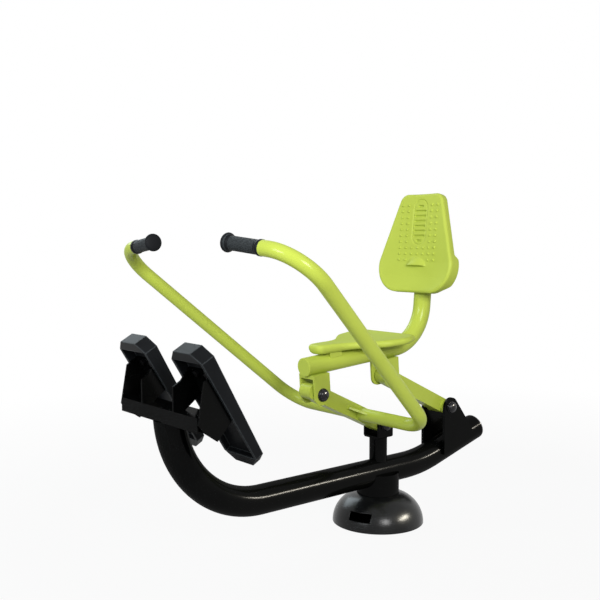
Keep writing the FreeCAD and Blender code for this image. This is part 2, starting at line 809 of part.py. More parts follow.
def clevis(label, x):
    body = newBody(label, seatFrame, x=x)
    seatAt = "seat_tube_drop - seat_tube_radius"
    uBracket(body, f"{seatAt} + clevis_saddle", f"{seatAt} - plate_thickness",
             "-clevis_half_length", "clevis_half_length")
    low = -SIZES["clevis_half_length"]
    roundOff(body, "clevis_round",
             lambda e: runsAlong(e, AY) and abs(e.BoundBox.ZMin - low) < 0.01, "ends")
    doc.recompute()
    saddleCut(body, "seat_tube_radius", "seat_tube_drop")
    pinHole(body)


def seatMounts():
    body = newBody("seat_mounts", seatFrame)
    body.AllowCompound = True
    under = "seat_base + seat_thickness - seat_skin"
    for name, x in (("front", "mount_front_at"), ("rear", "mount_rear_at")):
        sk = sketchOn(body, "YZ_Plane", name, f"{x} - mount_length / 2")
        rectangle(sk, "-mount_half_width", "mount_half_width", "seat_tube_drop", under)
        pad(body, sk, "mount_length", name=f"block_{name}")
    saddleCut(body, "seat_tube_radius", "seat_tube_drop")


def seatShell():
    # A saddle with a narrow nose, hollow underneath and dished on top
    body = newBody("seat_shell", seatFrame, z="seat_base")
    sk = sketchOn(body, "XY_Plane", "plan")
    right = [("0", "seat_nose_half"), ("seat_neck_at", "seat_neck_half"),
             ("seat_flare_at", "seat_flare_half"), ("seat_widen_at", "seat_widen_half"),
             ("seat_widest_at", "seat_half_width"), ("seat_length", "seat_rear_half")]
    polygon(sk, [(x, f"-({y})") for x, y in right] + right[::-1])
    pad(body, sk, "seat_thickness")
    roundOff(body, "seat_corner_radius", lambda e: runsAlong(e, AZ), "corners")
    doc.recompute()
    hollow = sketchOn(body, "XY_Plane", "hollow")
    inside = [("seat_wall", "seat_nose_half - seat_wall"),
              ("seat_neck_at", "seat_neck_half - seat_wall"),
              ("seat_flare_at + seat_wall", "seat_flare_half - seat_wall"),
              ("seat_widen_at + seat_wall / 2", "seat_widen_half - seat_wall"),
              ("seat_widest_at", "seat_half_width - seat_wall"),
              ("seat_length - seat_wall", "seat_rear_half - seat_wall")]
    polygon(hollow, [(x, f"-({y})") for x, y in inside] + inside[::-1])
    cut(body, hollow, "seat_thickness - seat_skin", back=True, name="hollow_cut")
    top = SIZES["seat_thickness"]
    roundOff(body, "seat_edge_radius", lambda e: e.BoundBox.ZMin > top - 0.01, "rim")


def backrest():
    # A shell curved round the rower's back, with a lumbar swell and a ladder of grooves
    body = newBody("backrest", backFrame)
    sk = sketchOn(body, "YZ_Plane", "front")
    right = [("back_half_width", "-back_low"), ("back_half_width", "0"),
             ("back_top_half", "back_high")]
    polygon(sk, [(f"-{x}", y) for x, y in right] + right[::-1])
    pad(body, sk, "back_sag + back_rim_depth")
    low = -SIZES["back_low"]
    for name, radius, test in (
            ("low", "back_low_radius", lambda z: abs(z - low) < 0.01),
            ("side", "back_side_radius", lambda z: abs(z) < 0.01),
            ("top", "back_top_radius", lambda z: abs(z - SIZES["back_high"]) < 0.01)):
        roundOff(body, radius, lambda e: runsAlong(e, AX) and test(e.BoundBox.ZMin), name)
        doc.recompute()
    hollow = sketchOn(body, "XY_Plane", "curve")
    circle(hollow, "back_curve_radius", "back_sag - back_curve_radius", "0")
    cut(body, hollow, both=True, name="front_cut")
    rear = sketchOn(body, "XY_Plane", "rear")
    far = "back_curve_radius * 2"
    rectangle(rear, f"-({far})", far, f"-({far})", far)
    circle(rear, "back_curve_radius + back_rim_depth", "back_sag - back_curve_radius", "0")
    cut(body, rear, both=True, name="rear_cut")
    for name, sign in (("left", "-"), ("right", "")):
        wing = sketchOn(body, "YZ_Plane", f"wing_{name}", "back_skin")
        edge, inner = f"{sign}wing_half_width", f"{sign}(wing_half_width - wing_width)"
        slant = f"{sign}(wing_half_width - wing_taper)"
        top = f"{sign}(wing_half_width - wing_top_taper)"
        polygon(wing, [(inner, "-wing_low"), (slant, "-wing_low"), (edge, "-wing_low / 3"),
                       (edge, "wing_high / 2"), (top, "wing_high"), (inner, "wing_high")])
        pad(body, wing, "wing_depth - back_skin", name=f"wing_pad_{name}")
    doc.recompute()
    recess = sketchOn(body, "YZ_Plane", "recess", "back_sag + back_skin")
    inner = [("recess_half_width", "-recess_low"), ("recess_half_width", "0"),
             ("recess_top_half", "recess_high")]
    polygon(recess, [(f"-{x}", y) for x, y in inner] + inner[::-1])
    cut(body, recess, "wing_depth", back=True, name="recess_cut")
    # The back post leaves the recess through a notch in the lower rim
    notch = sketchOn(body, "YZ_Plane", "notch", "back_sag + back_skin")
    rectangle(notch, "-(seat_tube_radius + notch_gap)", "seat_tube_radius + notch_gap", "-2 * back_low", "0")
    cut(body, notch, "wing_depth", back=True, name="notch_cut")
    rungs = sketchOn(body, "YZ_Plane", "rungs")
    for i in range(RUNGS):
        mid = f"rung_first + {i} * rung_pitch"
        length = "rung_end_length" if i in (0, RUNGS - 1) else "rung_length"
        rectangle(rungs, f"-{length} / 2", f"{length} / 2",
                  f"{mid} - rung_height / 2", f"{mid} + rung_height / 2")
    cut(body, rungs, "back_sag + rung_depth", back=True, name="rung_cut")
    swell = body.newObject("PartDesign::AdditiveEllipsoid", "lumbar")
    swell.Radius1 = 1
    bind(swell, Radius1="lumbar_half_height", Radius2="lumbar_rise", Radius3="lumbar_half_width")
    swell.AttachmentSupport = [(origin(body, "XY_Plane"), "")]
    swell.MapMode = "FlatFace"
    swell.setExpression("AttachmentOffset.Base.x", ex("back_sag"))
    doc.recompute()
    trim = sketchOn(body, "YZ_Plane", "trim", "back_sag + back_skin")
    rectangle(trim, "-lumbar_half_width", "lumbar_half_width", "-lumbar_half_height", "lumbar_half_height")
    cut(body, trim, "lumbar_rise", back=True, name="trim_cut")


def backBracket():
    # A block between the backrest's recess and the back post
    body = newBody("back_bracket", backFrame, x="back_sag + back_skin")
    sk = sketchOn(body, "YZ_Plane", "pad")
    rectangle(sk, "-bracket_half_width", "bracket_half_width",
              "-bracket_low", "bracket_high")
    pad(body, sk, "bracket_depth")
    return body


# Half the width of a footrest's bracket, which fits in the hollow of the footrest
bracketHalf = "footrest_half_width - footrest_wall - bracket_side_gap"


def crossbar():
    body = newBody("footrest_crossbar", x="-crossbar_front", z="crossbar_low")
    sk = sketchOn(body, "XZ_Plane", "section")
    rectangle(sk, "0", "crossbar_depth", "0", "crossbar_height")
    rectangle(sk, "crossbar_wall", "crossbar_depth - crossbar_wall",
              "crossbar_wall", "crossbar_height - crossbar_wall")
    pad(body, sk, f"2 * (footrest_side + {bracketHalf} - bracket_plate)", both=True)


def footrest(label, side):
    # A tread whose user side is the plane x = 0, thinner towards the heel and hollow at the back
    body = newBody(label, footFrame, y=f"{side} * footrest_side")
    sk = sketchOn(body, "YZ_Plane", "outline")
    right = [("footrest_top_half", "0"), ("footrest_half_width", "-footrest_chamfer"),
             ("footrest_half_width", "footrest_chamfer - footrest_length"),
             ("footrest_top_half", "-footrest_length")]
    polygon(sk, [(f"-{x}", y) for x, y in right] + right[::-1])
    pad(body, sk, "footrest_thickness", back=True)
    wedge = sketchOn(body, "XZ_Plane", "wedge")
    polygon(wedge, [("-footrest_thickness", "0"), ("-footrest_thickness", "-footrest_length"),
                    ("-footrest_low_thickness", "-footrest_length")])
    cut(body, wedge, both=True, name="wedge_cut")
    inside = "footrest_half_width - footrest_wall"
    hollow = sketchOn(body, "YZ_Plane", "hollow", "-footrest_skin")
    rectangle(hollow, f"-({inside})", inside, "footrest_rim - footrest_length", "-footrest_rim")
    cut(body, hollow, "footrest_thickness", name="hollow_cut")
    ribs = sketchOn(body, "YZ_Plane", "ribs")
    for i in range(RIBS):
        mid = f"-footrest_length / 2 + ({i} - {RIBS - 1} / 2) * footrest_rib_pitch"
        rectangle(ribs, f"-({inside})", inside,
                  f"{mid} - footrest_rib_width / 2", f"{mid} + footrest_rib_width / 2")
    pad(body, ribs, "footrest_rib_height", name="rib_pad")
    spots = sketchOn(body, "YZ_Plane", "spots")
    holes = sketchOn(body, "YZ_Plane", "holes")
    for y, z in boltPlaces():
        circle(spots, "bolt_spot_radius", y, z)
        circle(holes, "bolt_radius + bolt_clearance", y, z)
    cut(body, spots, "footrest_rib_height", back=True, name="spot_cut")
    cut(body, holes, name="hole_cut")


# Two rows of bolts, each midway between two ribs
boltRows = [f"footrest_length / 2 - {ribs} * footrest_rib_pitch" for ribs in (3.5, 1.5)]


def boltPlaces():
    return [(f"{sign}bolt_side", f"-({row})") for row in boltRows for sign in ("-", "")]


# Faces of the bracket's web, which lies against the back of the footrest's skin
webFront = "-footrest_skin - bracket_plate"
webBack = "-footrest_skin"
webTop = f"{boltRows[0]} - web_margin"
webLow = f"{boltRows[1]} + web_margin"


def footBracket(label, side):
    # A web behind the footrest, an inner fin on the crossbar and a side plate over its end
    body = newBody(label, y=f"{side} * footrest_side")
    outward = side == "1"
    barTop = "crossbar_low + crossbar_height"
    front = "-crossbar_front"
    upper = [inFrame(footFrame, v, f"-({webTop})") for v in (webFront, webBack)]
    lower = [inFrame(footFrame, v, f"-({webLow})") for v in (webFront, webBack)]
    sideLow = [inFrame(footFrame, v, "-side_low_along") for v in (webFront, webBack)]
    web = sketchOn(body, "XZ_Plane", "web")
    polygon(web, [lower[0], lower[1], upper[1], upper[0]])
    pad(body, web, f"2 * ({bracketHalf})", both=True, name="web_pad")
    inset = f"{bracketHalf} - bracket_plate"
    fin = sketchOn(body, "XZ_Plane", "fin", f"{side} * ({inset})")
    polygon(fin, [(front, barTop), (f"{front} + fin_foot", barTop), lower[0], lower[1], upper[1],
                  upper[0], (f"{front} + fin_peak_run", f"{barTop} + fin_peak_rise"),
                  (front, f"{barTop} + fin_front_rise")])
    pad(body, fin, "bracket_plate", back=not outward, name="fin_pad")
    plate = sketchOn(body, "XZ_Plane", "side", f"{side} * -1 * ({inset})")
    polygon(plate, [(front, "crossbar_low + side_corner"), (f"{front} + side_corner_run", "crossbar_low"),
                    (f"{front} + side_drop_run", "crossbar_low - side_drop"), sideLow[0], sideLow[1],
                    upper[1], upper[0], (f"{front} + side_lean", f"{barTop} + side_rise")])
    pad(body, plate, "bracket_plate", back=outward, name="side_pad")
    return body


def footBolts():
    bolts = newBody("footrest_bolts", footFrame)
    nuts = newBody("footrest_nuts", footFrame)
    bolts.AllowCompound = True
    nuts.AllowCompound = True
    places = [(f"{side}footrest_side + ({y})", z) for side in ("-", "") for y, z in boltPlaces()]
    grip = "footrest_skin + bracket_plate + nut_height"
    heads = sketchOn(bolts, "YZ_Plane", "heads")
    shanks = sketchOn(bolts, "YZ_Plane", "shanks", f"-({grip})")
    hexes = sketchOn(nuts, "YZ_Plane", "hexes", f"-({grip})")
    for y, z in places:
        circle(heads, "bolt_head_radius", y, z)
        circle(shanks, "bolt_radius", y, z)
        polygon(hexes, [(f"{y} + nut_radius * cos({60 * i})", f"{z} + nut_radius * sin({60 * i})")
                        for i in range(6)])
        circle(hexes, "bolt_radius", y, z)
    pad(bolts, heads, "bolt_head_height", name="head_pad")
    pad(bolts, shanks, grip, name="shank_pad")
    pad(nuts, hexes, "nut_height")


def pins():
    across = f"2 * ({cheekOut})"
    cylinder("lever_pin", "pin_radius", across, leverFrame)
    domes("lever_pin_caps", leverFrame, "0", cheekOut)
    cylinder("front_clevis_pin", "pin_radius", across, seatFrame)
    domes("front_clevis_caps", seatFrame, "0", cheekOut)
    cylinder("rear_clevis_pin", "pin_radius", across, seatFrame, "coupler_length")
    domes("rear_clevis_caps", seatFrame, "coupler_length", cheekOut)
    cylinder("link_pin", "pin_radius", f"2 * ({rearOut})", linkFrame)
    domes("link_pin_caps", linkFrame, "0", rearOut)


def bracketSaddle(body):
    # The back post runs through the rear of the bracket
    post = doc.addObject("Part::Cylinder", "post_space")
    bind(post, Radius="seat_tube_radius", Height="seat_post_leg * 2")
    place(post, postFrame, z="-seat_post_leg / 2")
    made = doc.addObject("Part::Cut", "bracket_on_post")
    made.Base = body
    made.Tool = post
    nodes.remove(body)
    body.Label = "bracket_block"
    made.Label = "back_bracket"
    return node(made)


def boltHoles(body, side):
    # Clearance holes through the bracket's web, square to the footrest
    tools = []
    for i, (y, z) in enumerate(boltPlaces()):
        hole = doc.addObject("Part::Cylinder", f"{body.Name}_hole_{i}")
        bind(hole, Radius="bolt_radius + bolt_clearance", Height="footrest_thickness")
        gx, gz = inFrame(footFrame, "-footrest_thickness", z)
        hole.Placement = Placement(Vector(0, 0, 0), Rotation(AY, 45))
        hole.setExpression("Placement.Base.x", ex(gx))
        hole.setExpression("Placement.Base.y", ex(f"{side} * footrest_side + ({y})"))
        hole.setExpression("Placement.Base.z", ex(gz))
        hole.setExpression("Placement.Rotation.Angle", ex("90 - footrest_tilt"))
        tools.append(hole)
    group = doc.addObject("Part::MultiFuse", f"{body.Name}_holes")
    group.Shapes = tools
    made = doc.addObject("Part::Cut", f"{body.Name}_drilled")
    label = body.Label
    made.Base = body
    made.Tool = group
    nodes.remove(body)
    body.Label = f"{label}_blank"
    made.Label = label
    return node(made)


groundFlange()
baseCover()
mainPost()
mainBeam()
beamEndCap()
pivotPost()
leverYoke()
rearPlate("rear_plate_left", "-1")
rearPlate("rear_plate_right", "1")
crossbar()
for name, side in (("left", "-1"), ("right", "1")):
    footrest(f"footrest_{name}", side)
    boltHoles(footBracket(f"footrest_bracket_{name}", side), side)
footBolts()
lever()
gussets()
handle()
rearLink()
seatTube()
postPlug()
clevis("front_clevis", "0")
clevis("rear_clevis", "coupler_length")
seatMounts()
seatShell()
backrest()
bracketSaddle(backBracket())
pins()
doc.recompute()

for thing in doc.Objects:
    if "Invalid" in thing.State or "Error" in thing.State:
        raise RuntimeError(f"{thing.Label} failed: {thing.State}")
for thing in nodes:
    if thing.Shape.isNull() or not thing.Shape.isValid():
        raise RuntimeError(f"{thing.Label} has no valid shape")

os.makedirs("parts", exist_ok=True)
for thing in nodes:
    thing.Shape.exportStep(os.path.join("parts", f"{thing.Label}.step"))
    print(f"{thing.Label}: {len(thing.Shape.Solids)} solid, {thing.Shape.Volume / 1000:.1f} cm3")
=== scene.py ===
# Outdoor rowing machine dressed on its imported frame. Metres, +Z up, footrests at -X, backrest at +X.
import json
from math import atan2, cos, pi, radians, sin

import bpy
import numpy as np
from mathutils import Matrix, Vector

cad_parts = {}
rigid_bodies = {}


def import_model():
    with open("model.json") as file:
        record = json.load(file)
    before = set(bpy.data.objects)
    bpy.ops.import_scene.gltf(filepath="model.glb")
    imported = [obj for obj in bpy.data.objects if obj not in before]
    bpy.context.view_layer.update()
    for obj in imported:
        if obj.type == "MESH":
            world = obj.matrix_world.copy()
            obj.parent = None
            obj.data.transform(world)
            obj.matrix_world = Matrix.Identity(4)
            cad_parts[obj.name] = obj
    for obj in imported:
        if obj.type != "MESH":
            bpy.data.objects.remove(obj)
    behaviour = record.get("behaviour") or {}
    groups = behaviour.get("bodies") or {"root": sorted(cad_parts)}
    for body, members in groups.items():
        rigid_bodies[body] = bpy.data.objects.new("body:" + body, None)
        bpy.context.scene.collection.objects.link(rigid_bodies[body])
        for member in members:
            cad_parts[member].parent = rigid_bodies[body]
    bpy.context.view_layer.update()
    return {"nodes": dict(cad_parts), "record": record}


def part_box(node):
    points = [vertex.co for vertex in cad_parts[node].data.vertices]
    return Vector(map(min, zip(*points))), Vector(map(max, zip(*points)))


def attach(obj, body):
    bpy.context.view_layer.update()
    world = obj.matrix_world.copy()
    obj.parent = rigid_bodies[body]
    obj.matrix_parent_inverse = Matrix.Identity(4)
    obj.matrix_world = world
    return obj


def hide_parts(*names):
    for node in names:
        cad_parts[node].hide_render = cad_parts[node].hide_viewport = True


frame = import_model()
nodes = frame["nodes"]
print("frame loaded:", len(nodes), "nodes")


class Wire:
    # a socket that Python can calculate with
    def __init__(self, finish, socket):
        self.finish, self.socket = finish, socket

    def calc(self, operation, a, b):
        return self.finish.add("ShaderNodeMath", {"operation": operation}, {0: a, 1: b})

    def __add__(self, other):
        return self.calc("ADD", self, other)

    def __radd__(self, other):
        return self.calc("ADD", other, self)

    def __sub__(self, other):
        return self.calc("SUBTRACT", self, other)

    def __rsub__(self, other):
        return self.calc("SUBTRACT", other, self)

    def __mul__(self, other):
        return self.calc("MULTIPLY", self, other)

    def __rmul__(self, other):
        return self.calc("MULTIPLY", other, self)


class Finish:
    # one procedural material, patterned on the object's own place
    def __init__(self, name):
        self.mat = bpy.data.materials.new(name)
        self.mat.use_nodes = True
        self.tree = self.mat.node_tree
        self.shader = self.tree.nodes["Principled BSDF"]
        self.place = self.add("ShaderNodeTexCoord", {}, {}, "Object")

    def add(self, kind, settings, inputs, out=0):
        node = self.tree.nodes.new(kind)
        for key, value in settings.items():
            if key == "stops":
                for stop, (spot, shade) in zip(node.color_ramp.elements, value):
                    stop.position, stop.color = spot, shade
            else:
                setattr(node, key, value)
        for key, value in inputs.items():
            self.put(node.inputs[key], value)
        return Wire(self, node.outputs[out])

    def put(self, socket, value):
        if isinstance(value, Wire):
            self.tree.links.new(value.socket, socket)
        else:
            socket.default_value = value

    def noise(self, scale, detail=2.0, roughness=0.5):
        return self.add("ShaderNodeTexNoise", {}, {"Vector": self.place, "Scale": scale,
                                                   "Detail": detail, "Roughness": roughness})

    def blend(self, amount, a, b):
        return self.add("ShaderNodeMix", {"data_type": "RGBA"}, {0: amount, 6: a, 7: b}, 2)

    def ramp(self, value, low, high):
        black, white = (0, 0, 0, 1), (1, 1, 1, 1)
        return self.add("ShaderNodeValToRGB", {"stops": [(low, black), (high, white)]}, {"Fac": value})

    def softEdge(self, radius):
        # rounds the shading over sharp edges
        return self.add("ShaderNodeBevel", {"samples": 6}, {"Radius": radius})

    def bump(self, height, strength, distance, under=None):
        inputs = {"Height": height, "Strength": strength, "Distance": distance}
        if under:
            inputs["Normal"] = under
        return self.add("ShaderNodeBump", {}, inputs)

    def edgeWearAndHighlight(self, rounded):
        # bright where the rounded normal leaves the face's own: the edge band for wear and a painted edge
        # highlight
        facing = self.add("ShaderNodeNewGeometry", {}, {}, "Normal")
        same = self.add("ShaderNodeVectorMath", {"operation": "DOT_PRODUCT"},
                        {0: rounded, 1: facing}, "Value")
        return 1 - same

    def wearing(self, **sockets):
        for name, value in sockets.items():
            self.put(self.shader.inputs[name.replace("_", " ")], value)
        return self.mat


paint = {
    "green": (0.455, 0.54, 0.068, 1), "greenLight": (0.49, 0.58, 0.08, 1),
    "shell": (0.46, 0.545, 0.075, 1), "shellLight": (0.50, 0.59, 0.088, 1),
    "black": (0.0008, 0.0009, 0.0009, 1), "blackDust": (0.0016, 0.0017, 0.0017, 1),
    "cover": (0.002, 0.0022, 0.0024, 1), "coverDust": (0.006, 0.0066, 0.007, 1),
    "rubber": (0.005, 0.0054, 0.006, 1), "rubberDust": (0.009, 0.01, 0.0115, 1),
    # pale rubber colour for the edges: partly wear, partly a painted edge highlight
    "rubberWearAndHighlight": (0.075, 0.085, 0.09, 1),
    "cap": (0.004, 0.004, 0.0048, 1), "capLight": (0.008, 0.008, 0.0095, 1),
    "oxide": (0.03, 0.03, 0.032, 1), "oxideDark": (0.012, 0.012, 0.013, 1),
    "bronze": (0.42, 0.27, 0.1, 1), "bronzeDark": (0.25, 0.16, 0.06, 1),
}


powder = {"cloud": (6.0, 3.0), "grain": (70.0, 2.0), "patches": (0.32, 0.72), "uneven": 0.10,
          "edge": 0.0009, "peelDepth": 0.0004}


def powderCoat(name, base, light, rough, peel, gloss, clear):
    # sprayed and baked paint: faint orange peel under a thin clear coat, which gives all the gloss
    coat = Finish(name)
    cloud, grain = coat.noise(*powder["cloud"]), coat.noise(*powder["grain"])
    edge = coat.softEdge(powder["edge"])
    shade = coat.blend(coat.ramp(cloud, *powder["patches"]), paint[base], paint[light])
    return coat.wearing(Base_Color=shade, Roughness=rough + powder["uneven"] * cloud,
                        Normal=coat.bump(grain, peel, powder["peelDepth"], edge),
                        Specular_IOR_Level=0.0, Coat_Weight=gloss, Coat_Roughness=clear)


cast = {"dust": (14.0, 4.0), "grain": (900.0, 3.0, 0.7), "patches": (0.4, 0.75), "rough": 0.2, "uneven": 0.1,
        "edge": 0.002, "bump": 0.16, "bumpDepth": 0.0006, "shine": 0.22}


def castCover():
    # grainy powder coat of the base cover
    coat = Finish("castCover")
    dust, grain = coat.noise(*cast["dust"]), coat.noise(*cast["grain"])
    edge = coat.softEdge(cast["edge"])
    shade = coat.blend(coat.ramp(dust, *cast["patches"]), paint["cover"], paint["coverDust"])
    return coat.wearing(Base_Color=shade, Roughness=cast["rough"] + cast["uneven"] * grain,
                        Normal=coat.bump(grain, cast["bump"], cast["bumpDepth"], edge),
                        Specular_IOR_Level=cast["shine"])


# the edge band's reach and strength set the pale edges, partly wear and partly a painted highlight
tread = {"grain": (520.0, 3.0, 0.65), "cloud": (11.0, 3.0), "patches": (0.3, 0.8), "edge": 0.0035,
         "wearAndHighlightFrom": (0.004, 0.05), "worn": 0.55, "rough": 0.42, "uneven": 0.14,
         "bump": 0.14, "bumpDepth": 0.0005, "shine": 0.065}


def mouldedRubber():
    # moulded tread rubber, paler along its edges: partly wear, partly a painted highlight on the rounded edges
    coat = Finish("treadRubber")
    grain, cloud = coat.noise(*tread["grain"]), coat.noise(*tread["cloud"])
    edge = coat.softEdge(tread["edge"])
    # the pale edge band: partly wear, partly a painted highlight along the edges
    worn = coat.ramp(coat.edgeWearAndHighlight(edge), *tread["wearAndHighlightFrom"])
    base = coat.blend(coat.ramp(cloud, *tread["patches"]), paint["rubber"], paint["rubberDust"])
    shade = coat.blend(worn * tread["worn"], base, paint["rubberWearAndHighlight"])
    return coat.wearing(Base_Color=shade, Roughness=tread["rough"] + tread["uneven"] * grain,
                        Normal=coat.bump(grain, tread["bump"], tread["bumpDepth"], edge),
                        Specular_IOR_Level=tread["shine"])


plastic = {"cloud": (40.0, 2.0), "grain": 300.0, "rough": 0.16, "uneven": 0.08,
           "bump": 0.03, "bumpDepth": 0.0003, "shine": 0.2}


def capPlastic():
    coat = Finish("capPlastic")
    cloud = coat.noise(*plastic["cloud"])
    return coat.wearing(Base_Color=coat.blend(cloud, paint["cap"], paint["capLight"]),
                        Roughness=plastic["rough"] + plastic["uneven"] * cloud,
                        Normal=coat.bump(coat.noise(plastic["grain"]), plastic["bump"], plastic["bumpDepth"]),
                        Specular_IOR_Level=plastic["shine"])


metal = {"lines": (260.0, 4.0, 0.7), "rough": 0.28, "uneven": 0.2, "edge": 0.0008,
         "bump": 0.06, "bumpDepth": 0.0003}


def plated(name, base, dark):
    coat = Finish(name)
    lines = coat.noise(*metal["lines"])
    edge = coat.softEdge(metal["edge"])
    return coat.wearing(Base_Color=coat.blend(lines, paint[base], paint[dark]),
                        Roughness=metal["rough"] + metal["uneven"] * lines,
                        Normal=coat.bump(lines, metal["bump"], metal["bumpDepth"], edge), Metallic=1.0)


finishes = {
    "green_paint": powderCoat("greenCoat", "green", "greenLight",
                              rough=0.2, peel=0.012, gloss=0.3, clear=0.2),
    "green_shell": powderCoat("greenShell", "shell", "shellLight",
                              rough=0.35, peel=0.012, gloss=0.25, clear=0.35),
    "black_paint": powderCoat("blackCoat", "black", "blackDust",
                              rough=0.11, peel=0.004, gloss=0.1, clear=0.16),
    "cover_black": castCover(),
    "dark_rubber": mouldedRubber(),
    "black_plastic": capPlastic(),
    "steel": plated("blackOxide", "oxide", "oxideDark"),
    "bushing": plated("bronzeBush", "bronze", "bronzeDark"),
}
for part in frame["record"]["subparts"]:
    for slot in nodes[part["node"]].material_slots:
        slot.material = finishes[part["material_slot"]]
print("finishes made:", len(finishes))


def alone(piece):
    bpy.ops.object.select_all(action="DESELECT")
    piece.select_set(True)
    bpy.context.view_layer.objects.active = piece


def pickFaces(piece, test):
    # opens the piece in edit mode with only the faces that pass the test selected
    alone(piece)
    bpy.ops.object.mode_set(mode="EDIT")
    bpy.ops.mesh.select_mode(type="FACE")
    bpy.ops.mesh.select_all(action="DESELECT")
    bpy.ops.object.mode_set(mode="OBJECT")
    for face in piece.data.polygons:
        face.select = test(face)
    bpy.ops.object.mode_set(mode="EDIT")


def modify(piece, kind, **settings):
    alone(piece)
    change = piece.modifiers.new(kind.lower(), kind)
    for key, value in settings.items():
        setattr(change, key, value)
    bpy.ops.object.modifier_apply(modifier=change.name)


def settle(piece, name, spot, body, slot, *stoodFor, crease=40):
    # puts the shaped mesh in its place on the frame
    piece.name = piece.data.name = name
    piece.matrix_world = spot
    alone(piece)
    bpy.ops.object.transform_apply(location=True, rotation=True, scale=True)
    bpy.ops.object.shade_smooth_by_angle(angle=radians(crease))
    piece.data.materials.clear()
    piece.data.materials.append(finishes[slot])
    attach(piece, body)
    if stoodFor:
        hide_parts(*stoodFor)


def rounded(corners, steps=16):
    # a line through (a, b, radius) corners with each inner corner rounded by its radius
    line = [np.array(corners[0][:2], float)]
    for before, (a, b, radius), after in zip(corners, corners[1:], corners[2:]):
        mid = np.array((a, b), float)
        back, ahead = np.array(before[:2]) - mid, np.array(after[:2]) - mid
        back, ahead = back / np.linalg.norm(back), ahead / np.linalg.norm(ahead)
        half = np.arccos(np.clip(back @ ahead, -1, 1)) / 2
        heart = mid + (back + ahead) / np.linalg.norm(back + ahead) * radius / sin(half)
        start, end = mid + back * radius / np.tan(half), mid + ahead * radius / np.tan(half)
        first = atan2(*(start - heart)[::-1])
        sweep = (atan2(*(end - heart)[::-1]) - first + pi) % (2 * pi) - pi
        turns = [first + sweep * i / steps for i in range(steps + 1)]
        line += [heart + radius * np.array((cos(turn), sin(turn))) for turn in turns]
    return np.array(line + [np.array(corners[-1][:2], float)])


def evenly(line, count):
    # the same line in equal steps
    run = np.concatenate(([0], np.cumsum(np.linalg.norm(np.diff(line, axis=0), axis=1))))
    steps = np.linspace(0, run[-1], count)
    return np.stack([np.interp(steps, run, line[:, i]) for i in (0, 1)], axis=1)


def smooth(low, high, value):
    share = np.clip((value - low) / (high - low), 0, 1)
    return share * share * (3 - 2 * share)


def toSegment(a, b, ends):
    # distance from points (a, b) to the straight line between two ends
    (a0, b0), (a1, b1) = ends
    long = max((a1 - a0) ** 2 + (b1 - b0) ** 2, 1e-12)
    share = np.clip(((a - a0) * (a1 - a0) + (b - b0) * (b1 - b0)) / long, 0, 1)
    return np.hypot(a - a0 - share * (a1 - a0), b - b0 - share * (b1 - b0))


grid = {"outlineSteps": 400, "rimward": 0.55, "even": 0.45, "same": 1e-7, "farAway": 9.0}


def mouldedSheet(side, columns, rows):
    # a grid laid inside a mirrored outline; side runs from low to high as (half width, height)
    bpy.ops.object.select_all(action="DESELECT")
    bpy.ops.mesh.primitive_grid_add(x_subdivisions=columns, y_subdivisions=rows, size=2)
    sheet = bpy.context.object
    co = np.zeros(len(sheet.data.vertices) * 3)
    sheet.data.vertices.foreach_get("co", co)
    u, v = co.reshape(-1, 3)[:, 0], co.reshape(-1, 3)[:, 1]
    tall = side[:, 1]
    first = np.nonzero(tall <= tall.min() + grid["same"])[0][-1]
    last = np.nonzero(tall >= tall.max() - grid["same"])[0][0]
    steps = evenly(side[first:last + 1], grid["outlineSteps"])
    # finer towards the rim
    u, v = (grid["rimward"] * np.sin(pi / 2 * way) + grid["even"] * way for way in (u, v))
    height = steps[0, 1] + (steps[-1, 1] - steps[0, 1]) * (v + 1) / 2
    half = np.interp(height, steps[:, 1], steps[:, 0])
    across = -half * u
    rim = np.concatenate((steps, steps[::-1] * (-1, 1)))
    ends = np.concatenate((rim, rim[:1]))
    margin = np.full(len(u), grid["farAway"])
    for a, b in zip(ends, ends[1:]):
        margin = np.minimum(margin, toSegment(across, height, (a, b)))
    return sheet, across, height, half, margin


def skirt(sheet, along, rings):
    # draws the open rim out along one axis; rings give the new place for each rim point
    alone(sheet)
    bpy.ops.object.mode_set(mode="EDIT")
    bpy.ops.mesh.select_mode(type="EDGE")
    bpy.ops.mesh.select_all(action="SELECT")
    bpy.ops.mesh.region_to_loop()
    for ring in rings:
        bpy.ops.mesh.extrude_edges_move(TRANSFORM_OT_translate={"value": along})
        bpy.ops.object.mode_set(mode="OBJECT")
        for point in sheet.data.vertices:
            if point.select:
                point.co = ring(point.co)
        bpy.ops.object.mode_set(mode="EDIT")
    bpy.ops.object.mode_set(mode="OBJECT")


def place(sheet, x, y, z):
    sheet.data.vertices.foreach_set("co", np.stack((x, y, z), axis=1).ravel())
    sheet.data.update()


